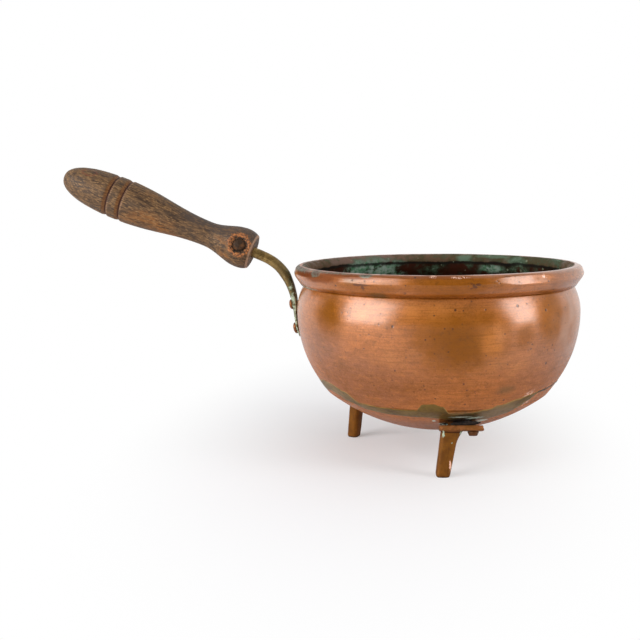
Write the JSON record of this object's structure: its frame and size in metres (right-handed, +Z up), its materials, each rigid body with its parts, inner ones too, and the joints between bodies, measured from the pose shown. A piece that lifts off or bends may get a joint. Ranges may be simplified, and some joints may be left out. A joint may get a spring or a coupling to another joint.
{
  "type": "saucepan",
  "caption": "Round-bellied copper saucepan on riveted legs, with a wired rim, a brazed base, a brass shank riveted to the side and a turned wooden grip.",
  "frame": {"origin": "on the floor, below the middle of the whole outline, so the bowl's axis stands 70.5 mm along +X", "axes": "+Z up along the bowl's axis; the grip points along -X, in the plane Y = 0"},
  "size_m": [0.308, 0.167, 0.1698],
  "materials": {
    "bowl_copper": "aged copper sheet, satin, with dark pits and a brown tone",
    "base_copper": "aged copper sheet, satin, duller than the wall",
    "seam_brass": "dull olive braze",
    "wire_iron": "black iron wire inside the rolled rim",
    "shank_brass": "olive-brown aged brass with green corrosion near the bowl",
    "rivet_copper": "dark copper",
    "grip_wood": "weathered brown hardwood, worn smooth",
    "pin_iron": "dark rough iron",
    "leg_bronze": "brown satin cast bronze"
  },
  "bodies": {
    "root": {"bowl_wall": "bowl_copper", "bowl_base": "base_copper", "braze_seam": "seam_brass", "rim_wire": "wire_iron", "handle_shank": "shank_brass", "shank_rivet_upper": "rivet_copper", "shank_rivet_lower": "rivet_copper", "wooden_grip": "grip_wood", "grip_pin": "pin_iron", "leg_front": "leg_bronze", "leg_handle_side": "leg_bronze", "leg_rear": "leg_bronze", "leg_front_rivet": "rivet_copper", "leg_handle_side_rivet": "rivet_copper", "leg_rear_rivet": "rivet_copper"}
  },
  "joints": []
}
